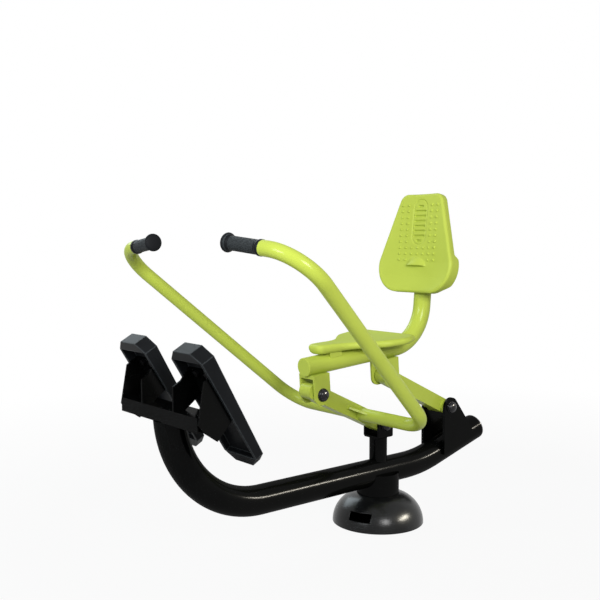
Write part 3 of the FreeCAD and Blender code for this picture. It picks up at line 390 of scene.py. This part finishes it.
back = {"spot": Matrix.Translation((0.129902, 0, 0.707834)) @ Matrix.Rotation(radians(9.5), 4, "Y"),
        "outline": [(0.050, -0.085, 0), (0.136, -0.085, 0.074), (0.136, 0.0, 0.060), (0.073, 0.194, 0.030),
                    (0.040, 0.194, 0)],
        "columns": 150, "rows": 230, "edge": 0.0021, "roll": 0.009, "wall": 0.006,
        "hollowAt": (-0.085, -0.04, 0.0, 0.061, 0.146, 0.194),
        "hollow": (0.009, 0.014, 0.0148, 0.0115, 0.007, 0.004),
        "rim": 0.0255, "wing": 0.040, "wingTop": (0.026, 0.012), "wingFoot": (-0.078, -0.058),
        "lowRim": 0.022, "lowEnd": -0.0845, "rings": (0.12, 0.43, 0.76, 1.0), "ringStep": 0.002, "tuck": 0.003,
        "ladder": (0.0754, 0.1531, 0.0244), "ladderDepth": 0.0007, "ladderSoft": 0.001, "ridge": 0.0019,
        "slotLow": 0.0616, "slotPitch": 0.01386, "slots": 8, "slotHalf": 0.0185, "endSlotHalf": 0.0075,
        "slotRadius": 0.0027, "slotDepth": 0.0042, "slotOuter": 0.0005, "slotInner": 0.0013,
        "ledgeAt": -0.0095, "ledgeHalf": 0.0355, "ledgeRise": 0.0245, "ledgeDepth": 0.0135,
        "ledgeUnder": 0.0016,
        "pipRadius": 0.0041, "pipHeight": 0.0034, "pipSunk": 0.0012, "pipSides": 12, "pipRings": 8,
        "pipLow": 0.0075, "pipPitch": 0.0171, "pipRows": 10, "pipColumn": 0.0214, "pipColumns": range(-3, 4),
        "pipFullRows": (1, 2), "pipBeside": 2}


def backFace(y, z, half, margin):
    # depth of the moulded face: a hollow for the back, rolled edges, ladder slots and a ledge
    bowl = 1 - (y / half) ** 2
    depth = back["edge"] + np.interp(z, back["hollowAt"], back["hollow"]) * bowl
    roll = back["roll"]
    near = np.clip(roll - margin, 0, roll)
    depth += roll - np.sqrt(roll ** 2 - near ** 2)
    low, high, radius = back["ladder"]
    ring = toSegment(y, z, ((0, low), (0, high)))
    soft, ridge = back["ladderSoft"], back["ridge"]
    depth += back["ladderDepth"] * smooth(radius + soft, radius - soft, ring)
    depth += ridge * np.clip(1 - ((ring - radius) / ridge) ** 2, 0, 1)
    outer, inner = back["slotRadius"] + back["slotOuter"], back["slotRadius"] - back["slotInner"]
    for i in range(back["slots"]):
        reach = back["endSlotHalf"] if i in (0, back["slots"] - 1) else back["slotHalf"]
        level = back["slotLow"] + i * back["slotPitch"]
        slot = toSegment(y, z, ((-reach, level), (reach, level)))
        depth += back["slotDepth"] * smooth(outer, inner, slot)
    side = np.sqrt(np.clip(1 - (y / back["ledgeHalf"]) ** 2, 0, 1))
    top = back["ledgeAt"] + back["ledgeRise"] * side
    climb = np.clip((top - z) / back["ledgeRise"], 0, 1)
    under = smooth(back["ledgeAt"] - back["ledgeUnder"], back["ledgeAt"], z)
    depth -= back["ledgeDepth"] * np.sqrt(side) * np.sin(pi / 2 * climb) * under
    return depth


def rimDepth(z):
    # the skirt is deepest at the wings beside the lower back
    if z < back["lowEnd"]:
        return back["lowRim"]
    wing = float(smooth(*back["wingTop"], z) * smooth(*back["wingFoot"], z))
    return back["rim"] + (back["wing"] - back["rim"]) * wing


def pips(onFace):
    # small round studs: two columns on each side of the ladder, and two full rows under it
    spots = [(column * back["pipColumn"], back["pipLow"] + row * back["pipPitch"])
             for row in range(back["pipRows"]) for column in back["pipColumns"]
             if abs(column) >= back["pipBeside"] or row in back["pipFullRows"]]
    made = []
    for y, z in spots:
        bpy.ops.object.select_all(action="DESELECT")
        bpy.ops.mesh.primitive_uv_sphere_add(segments=back["pipSides"], ring_count=back["pipRings"],
                                             radius=back["pipRadius"], location=(onFace(y, z), y, z),
                                             rotation=(0, pi / 2, 0))
        pip = bpy.context.object
        pip.scale = (1, 1, back["pipHeight"] / back["pipRadius"])
        bpy.ops.object.transform_apply(location=True, rotation=True, scale=True)
        pickFaces(pip, lambda face: face.center.x > onFace(y, z) + back["pipSunk"])
        bpy.ops.mesh.delete(type="FACE")
        bpy.ops.object.mode_set(mode="OBJECT")
        made.append(pip)
    return made


def makeBackrest():
    side = rounded(back["outline"])
    sheet, y, z, half, margin = mouldedSheet(side, back["columns"], back["rows"])
    place(sheet, backFace(y, z, half, margin), y, z)
    step = back["ringStep"]

    def ring(share):
        # goes on by a share of the depth that is left
        def move(co):
            was = co.x - step
            return Vector((was + (rimDepth(co.z) - was) * share, co.y * (1 - back["tuck"] * share), co.z))
        return move
    skirt(sheet, (step, 0, 0), [ring(share) for share in back["rings"]])
    modify(sheet, "SOLIDIFY", thickness=back["wall"], offset=-1)

    def onFace(y, z):
        half = np.interp(z, side[:, 1], side[:, 0])
        return float(backFace(np.array([y]), np.array([z]), np.array([half]), np.array([1.0]))[0])
    studs = pips(onFace)
    alone(sheet)
    for stud in studs:
        stud.select_set(True)
    bpy.ops.object.join()
    settle(sheet, "backrest_moulded", back["spot"], "seat", "green_shell", "backrest")


saddle = {"spot": Matrix.Translation((-0.227098, 0, 0.375834)) @ Matrix.Rotation(radians(-4.5), 4, "Y"),
          "outline": [(0.006, 0.0, 0), (0.0255, 0.0, 0.018), (0.038, 0.104, 0.13), (0.103, 0.176, 0.062),
                      (0.117, 0.236, 0.06), (0.094, 0.284, 0.026), (0.05, 0.284, 0)],
          "columns": 90, "rows": 170, "top": 0.1195, "base": 0.101, "roll": 0.0092, "wall": 0.005,
          "dish": 0.0030, "dishAcross": (0.0, 0.75), "dishRear": (0.284, 0.24), "dishFront": (0.02, 0.12),
          "noseRise": 0.006, "noseReach": (0.15, 0.0), "ringStep": 0.002, "narrowest": 0.03,
          "rings": ((0.3, 0.0005), (0.5, 0.002), (0.7, 0.0033), (1.0, 0.0027))}


def makeSeat():
    side = rounded(saddle["outline"])
    sheet, y, x, half, margin = mouldedSheet(side, saddle["columns"], saddle["rows"])
    roll = saddle["roll"]
    near = np.clip(roll - margin, 0, roll)
    z = saddle["top"] - roll + np.sqrt(roll ** 2 - near ** 2)
    inner = smooth(*saddle["dishAcross"], 1 - np.abs(y) / half)
    inner = inner * smooth(*saddle["dishRear"], x) * smooth(*saddle["dishFront"], x)
    z += saddle["noseRise"] * smooth(*saddle["noseReach"], x) - saddle["dish"] * inner
    place(sheet, x, y, z)
    step, middle = saddle["ringStep"], side[-1, 1] / 2

    def ring(share, tuck):
        # goes down by a share of what is left and turns in a little under the rim
        def move(co):
            was, wide = co.z + step, np.interp(co.x, side[:, 1], side[:, 0])
            return Vector((middle + (co.x - middle) * (1 - tuck / middle),
                           co.y * (1 - tuck / max(wide, saddle["narrowest"])),
                           was + (saddle["base"] - was) * share))
        return move
    skirt(sheet, (0, 0, -step), [ring(*turn) for turn in saddle["rings"]])
    modify(sheet, "SOLIDIFY", thickness=saddle["wall"], offset=-1)
    settle(sheet, "seat_moulded", saddle["spot"], "seat", "green_shell", "seat_shell")


def turned(profile, sides):
    # a round piece raised ring by ring from a disc: profile is (height, radius)
    bpy.ops.object.select_all(action="DESELECT")
    (low, radius), rest = profile[0], profile[1:]
    bpy.ops.mesh.primitive_circle_add(vertices=sides, radius=radius, fill_type="NGON", location=(0, 0, 0))
    piece = bpy.context.object
    bpy.ops.object.mode_set(mode="EDIT")
    bpy.ops.mesh.select_mode(type="FACE")
    bpy.ops.mesh.select_all(action="SELECT")
    bpy.ops.transform.translate(value=(0, 0, low))
    for height, wide in rest:
        bpy.ops.mesh.extrude_region_move(TRANSFORM_OT_translate={"value": (0, 0, height - low)})
        bpy.ops.transform.resize(value=(wide / radius, wide / radius, 1), center_override=(0, 0, height))
        low, radius = height, wide
    bpy.ops.mesh.select_all(action="SELECT")
    bpy.ops.mesh.normals_make_consistent(inside=False)
    bpy.ops.object.mode_set(mode="OBJECT")
    return piece


grip = {"plane": Matrix.Translation((-0.0831, 0, 0.3075)) @ Matrix.Rotation(radians(41), 4, "Y"),
        "at": (-0.6740, 0.2578), "heading": (-0.165, -0.986), "length": 0.110, "body": 0.0155,
        "collar": 0.0178, "flange": 0.0214, "rings": 22, "groove": 0.00035, "sides": 56,
        "mouth": (0.0003, 0.0150), "tip": 0.0015, "handFrom": 0.0135, "handTo": 0.0185,
        "collarLine": ((0.0003, 0.0010), (0.0012, 0), (0.0070, 0), (0.0085, 0.0006)),
        "collarEnd": (0.0110, 0.0003),
        "ringLine": ((0.12, 1), (0.62, 1), (0.74, -1), (0.98, -1)),
        "neckLine": ((0.0165, 0.0002), (0.0138, 0.0016)), "flangeFoot": (0.0118, 0.0022),
        "roundAt": 0.0062, "round": 0.0052, "roundFrom": -60, "roundStep": 16.5, "roundSteps": 9,
        "endLine": ((0.0006, 0.0085), (0.0001, 0.0135))}


def gripProfile():
    # collar, finely ringed hand part and a round end flange
    body, flange, length = grip["body"], grip["flange"], grip["length"]
    line = [grip["mouth"]] + [(along, grip["collar"] - less) for along, less in grip["collarLine"]]
    line.append((grip["collarEnd"][0], body + grip["collarEnd"][1]))
    start = grip["handFrom"]
    step = (length - grip["handTo"] - start) / grip["rings"]
    line += [(start + step * (i + share), body + sign * grip["groove"])
             for i in range(grip["rings"]) for share, sign in grip["ringLine"]]
    line += [(length - left, body + more) for left, more in grip["neckLine"]]
    line.append((length - grip["flangeFoot"][0], flange - grip["flangeFoot"][1]))
    bend = grip["round"]
    for i in range(grip["roundSteps"]):
        turn = radians(grip["roundFrom"] + grip["roundStep"] * i)
        line.append((length - grip["roundAt"] + bend * sin(turn), flange - bend + bend * cos(turn)))
    line += [(length - left, flange - less) for left, less in grip["endLine"]]
    return line + [(length, grip["tip"])]


def makeGrips():
    for name, sign in (("left", -1), ("right", 1)):
        rubber = turned(gripProfile(), grip["sides"])
        x, y = grip["at"]
        ahead = Vector((grip["heading"][0], sign * grip["heading"][1], 0)).normalized()
        turn = ahead.to_track_quat("Z", "X").to_matrix().to_4x4()
        spot = grip["plane"] @ Matrix.Translation((x, sign * y, 0)) @ turn
        settle(rubber, f"grip_sleeve_{name}", spot, "lever", "dark_rubber", f"grip_{name}", crease=50)


caps = {"lip": 0.0172, "height": 0.0130, "sides": 48, "dome": 0.0020, "domeIn": 0.0009, "tip": 0.0001,
        "lipLine": ((0, 0.0010), (0.0, 0), (0.0014, 0), (0.0020, 0.0007)), "domeStep": 9, "domeSteps": 11,
        "nodes": {"lever_pin_caps": "frame", "link_pin_caps": "frame",
                  "front_clevis_caps": "seat", "rear_clevis_caps": "seat"}}


def makeCaps():
    # smooth domed covers, a pair on every pivot
    lip, height, dome = caps["lip"], caps["height"], caps["dome"]
    line = [(up, lip - less) for up, less in caps["lipLine"]]
    turns = [radians(caps["domeStep"] * i) for i in range(caps["domeSteps"])]
    line += [(dome + (height - dome) * sin(turn), (lip - caps["domeIn"]) * cos(turn) + caps["tip"])
             for turn in turns]
    for node, body in caps["nodes"].items():
        low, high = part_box(node)
        middle = (low + high) / 2
        pair = []
        for sign in (-1, 1):
            cover = turned(line, caps["sides"])
            base = middle + Vector((0, sign * ((high.y - low.y) / 2 - height), 0))
            cover.matrix_world = Matrix.Translation(base) @ Matrix.Rotation(radians(-90 * sign), 4, "X")
            pair.append(cover)
        alone(pair[0])
        pair[1].select_set(True)
        bpy.ops.object.transform_apply(location=True, rotation=True, scale=True)
        bpy.ops.object.join()
        settle(pair[0], f"{node}_domed", Matrix.Identity(4), body, "black_plastic", node, crease=50)


makeBackrest()
print("backrest moulded")
makeSeat()
print("seat moulded")
makeGrips()
makeCaps()
print("grips and caps turned")


studio = {"floor": (0.3, 0.3, 0.3, 1), "floorSize": 80.0, "floorDrop": 0.0005, "floorMatt": 0.9,
          "glow": 0.93, "clear": (0.9, 2.4), "skyForObject": 0.27, "aim": (-0.1, 0.0, 0.45),
          "stripOn": ("blackCoat", "castCover", "capPlastic"),
          "lamps": {"front": ((-1.2, -2.7, 1.55), (0.9, 0.9), 66.0, (1.0, 1.0, 1.0)),
                    "left": ((-2.7, -0.3, 1.5), (0.8, 0.8), 42.0, (0.92, 0.98, 1.0)),
                    "behind": ((0.0, 2.4, 2.0), (1.6, 1.6), 36.0, (0.8, 0.93, 1.0)),
                    "strip": ((1.8, -2.9, 1.65), (1.6, 0.16), 250.0, (1.0, 0.94, 0.8))}}


def cameraRays(finish):
    # seen straight on, in a mirror or through glass
    light = finish.tree.nodes.new("ShaderNodeLightPath").outputs
    seen = Wire(finish, light["Is Camera Ray"]) + Wire(finish, light["Is Glossy Ray"])
    return seen + Wire(finish, light["Is Transmission Ray"])


def layFloor():
    bpy.ops.object.select_all(action="DESELECT")
    bpy.ops.mesh.primitive_plane_add(size=studio["floorSize"], location=(0, 0, -studio["floorDrop"]))
    floor = bpy.context.object
    floor.name = "studio_floor"
    pale = Finish("paleFloor")
    pale.wearing(Base_Color=studio["floor"], Roughness=studio["floorMatt"])
    white = pale.add("ShaderNodeEmission", {}, {"Color": (1, 1, 1, 1), "Strength": 1.0})
    away = pale.add("ShaderNodeVectorMath", {"operation": "LENGTH"}, {0: pale.place}, "Value")
    near, far = studio["clear"]
    glow = pale.add("ShaderNodeMapRange", {}, {"Value": away, "From Min": near, "From Max": far,
                                               "To Min": studio["glow"], "To Max": 1.0})
    both = pale.add("ShaderNodeMixShader", {}, {0: cameraRays(pale) * glow, 2: white})
    pale.tree.links.new(pale.shader.outputs[0], both.socket.node.inputs[1])
    pale.tree.links.new(both.socket, pale.tree.nodes["Material Output"].inputs["Surface"])
    floor.data.materials.append(pale.mat)


def darkPieces():
    # flags keep the strip's light off everything but the black finishes
    group = bpy.data.collections.new("strip_receivers")
    for piece in bpy.data.objects:
        worn = [slot.material.name for slot in piece.material_slots if slot.material]
        if any(name in worn for name in studio["stripOn"]):
            group.objects.link(piece)
    return group


def hangLights():
    for name, (spot, (wide, tall), watts, tint) in studio["lamps"].items():
        bpy.ops.object.light_add(type="AREA", location=spot)
        lamp = bpy.context.object
        lamp.name = f"softbox_{name}"
        lamp.data.shape = "RECTANGLE"
        lamp.data.size, lamp.data.size_y = wide, tall
        lamp.data.energy, lamp.data.color = watts, tint
        if name == "strip":
            lamp.light_linking.receiver_collection = darkPieces()
        aim = Vector(studio["aim"]) - Vector(spot)
        lamp.rotation_euler = aim.to_track_quat("-Z", "Y").to_euler()


def paintSky():
    # white where it is seen, dimmer where it only lights
    world = bpy.data.worlds.new("studioSky")
    bpy.context.scene.world = world
    world.use_nodes = True
    tree = world.node_tree
    sky = tree.nodes["Background"]
    sky.inputs["Color"].default_value = (1, 1, 1, 1)
    path = tree.nodes.new("ShaderNodeLightPath")
    seen = path.outputs["Is Camera Ray"]
    for other in ("Is Glossy Ray", "Is Transmission Ray"):
        either = tree.nodes.new("ShaderNodeMath")
        either.operation = "MAXIMUM"
        tree.links.new(seen, either.inputs[0])
        tree.links.new(path.outputs[other], either.inputs[1])
        seen = either.outputs[0]
    level = tree.nodes.new("ShaderNodeMapRange")
    level.inputs["To Min"].default_value = studio["skyForObject"]
    level.inputs["To Max"].default_value = 1.0
    tree.links.new(seen, level.inputs["Value"])
    tree.links.new(level.outputs["Result"], sky.inputs["Strength"])


lens = {"at": (-1.64604, -1.64137, 0.759745), "turn": -39.8, "tip": 3.805, "mm": 51.42, "sensor": 36.0}


def setCamera():
    bpy.ops.object.camera_add(location=lens["at"],
                              rotation=(radians(90 - lens["tip"]), 0, radians(lens["turn"])))
    camera = bpy.context.object
    camera.data.lens = lens["mm"]
    camera.data.sensor_width = lens["sensor"]
    bpy.context.scene.camera = camera
    bpy.context.scene.view_settings.view_transform = "Standard"


layFloor()
hangLights()
paintSky()
setCamera()
print("studio set")
